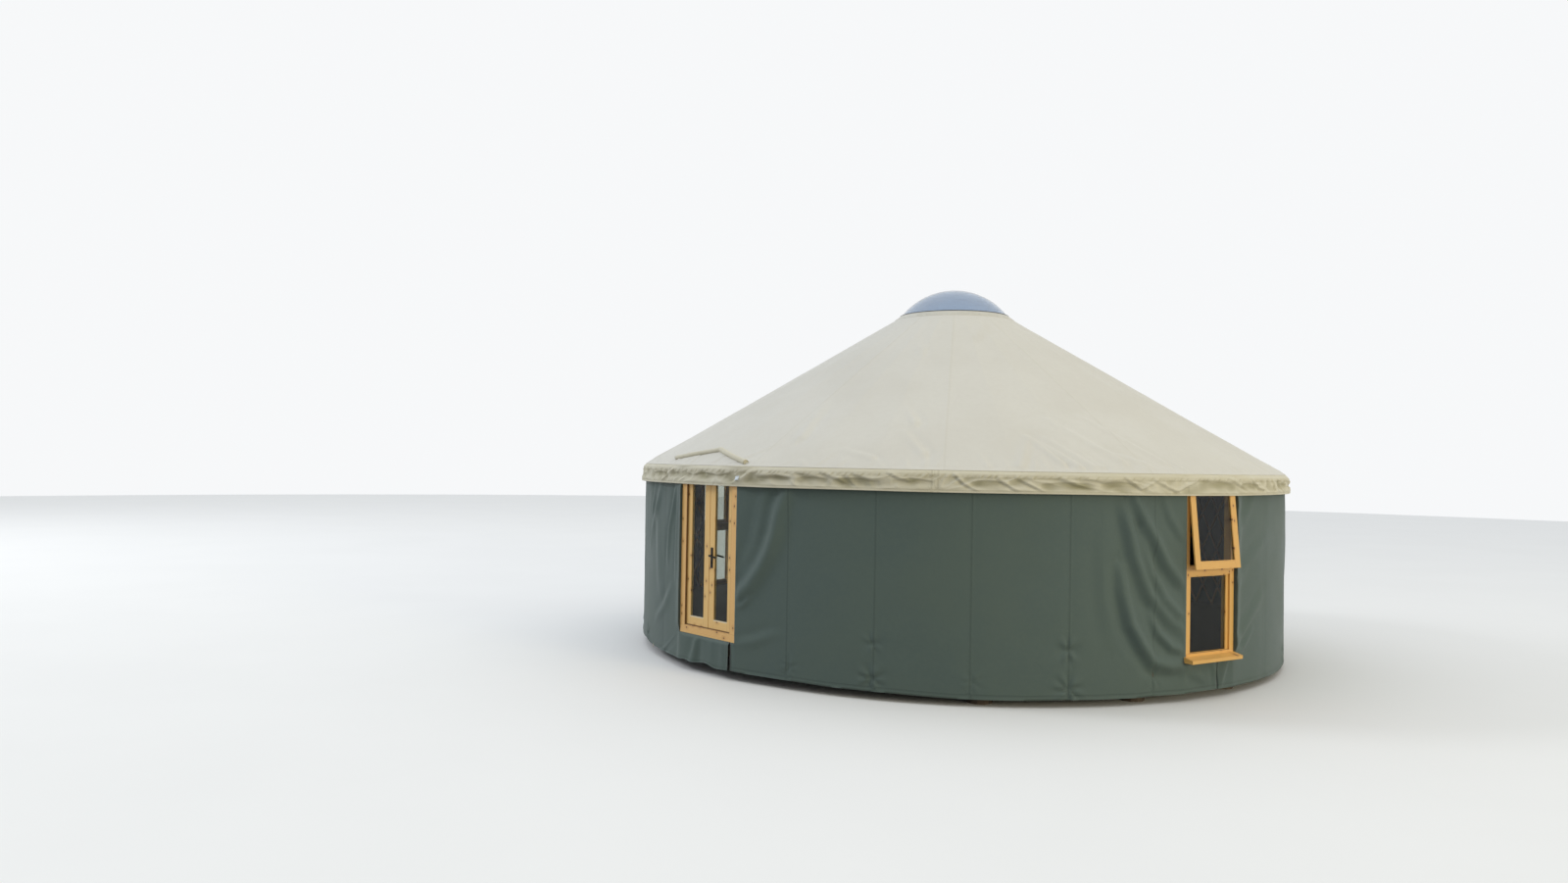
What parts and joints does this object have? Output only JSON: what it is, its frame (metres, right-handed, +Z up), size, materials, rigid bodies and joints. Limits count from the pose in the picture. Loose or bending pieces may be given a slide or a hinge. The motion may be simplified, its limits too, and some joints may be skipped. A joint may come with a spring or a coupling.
{
  "type": "yurt",
  "caption": "Round canvas yurt with a cream roof, grey-green walls, a clear crown dome and pine French doors.",
  "frame": {"origin": "on the level ground under the middle of the yurt", "axes": "+Z up, the front doors face -Y, +X to the right as seen from the doors"},
  "size_m": [9.2148, 9.1238, 5.1702],
  "materials": {
    "wall_cloth": "matte",
    "roof_cloth": "matte",
    "valance_cloth": "matte",
    "frame_timber": "satin",
    "floor_timber": "satin",
    "joinery_pine": "satin",
    "glass": "gloss",
    "clear_dome": "gloss",
    "curb": "satin",
    "black_iron": "satin",
    "hinge_steel": "satin"
  },
  "bodies": {
    "yurt": {"crown_ring": "frame_timber", "dome": "clear_dome", "dome_curb": "curb", "door_apron": "wall_cloth", "door_frame": "joinery_pine", "floor_bearers": "floor_timber", "floor_deck": "floor_timber", "floor_joists": "floor_timber", "floor_rim": "floor_timber", "floor_stumps": "floor_timber", "jamb_hinges": "hinge_steel", "rafters": "frame_timber", "rain_deflector": "roof_cloth", "roof_canvas_1": "roof_cloth", "roof_canvas_10": "roof_cloth", "roof_canvas_11": "roof_cloth", "roof_canvas_12": "roof_cloth", "roof_canvas_2": "roof_cloth", "roof_canvas_3": "roof_cloth", "roof_canvas_4": "roof_cloth", "roof_canvas_5": "roof_cloth", "roof_canvas_6": "roof_cloth", "roof_canvas_7": "roof_cloth", "roof_canvas_8": "roof_cloth", "roof_canvas_9": "roof_cloth", "valance": "valance_cloth", "wall_canvas_1": "wall_cloth", "wall_canvas_2": "wall_cloth", "wall_canvas_3": "wall_cloth", "wall_canvas_4": "wall_cloth", "wall_canvas_5": "wall_cloth", "wall_canvas_6": "wall_cloth", "wall_canvas_7": "wall_cloth", "wall_canvas_8": "wall_cloth", "wall_canvas_9": "wall_cloth", "wall_lattice_1": "frame_timber", "wall_lattice_2": "frame_timber", "wall_lattice_3": "frame_timber", "wall_lattice_4": "frame_timber", "wall_lattice_5": "frame_timber", "wall_lattice_6": "frame_timber", "wall_lattice_7": "frame_timber", "wall_lattice_8": "frame_timber", "wall_lattice_9": "frame_timber", "window_aprons": "wall_cloth", "window_frames": "joinery_pine", "window_panes": "glass", "window_sashes": "joinery_pine", "window_sills": "joinery_pine"},
    "right_door": {"right_leaf": "joinery_pine", "right_leaf_glass": "glass", "right_leaf_hinges": "hinge_steel", "handle_plates": "black_iron"},
    "left_door": {"left_leaf": "joinery_pine", "left_leaf_glass": "glass", "left_leaf_hinges": "hinge_steel"},
    "door_lever": {"lever_handles": "black_iron"}
  },
  "joints": [
    {"name": "right_door_hinge", "type": "hinge", "parent": "yurt", "child": "right_door", "pos_m": [0.4615, -4.423, 1.45], "axis": [0, 0, -1], "range_deg": [0, 95]},
    {"name": "left_door_hinge", "type": "hinge", "parent": "yurt", "child": "left_door", "pos_m": [-0.4615, -4.423, 1.45], "axis": [0, 0, 1], "range_deg": [0, 95]},
    {"name": "lever_spindle", "type": "hinge", "parent": "right_door", "child": "door_lever", "pos_m": [0.053, -4.475, 1.437], "axis": [0, 1, 0], "range_deg": [0, 45], "stiffness_Nm_per_rad": 1.2, "springref_deg": -20.05}
  ]
}
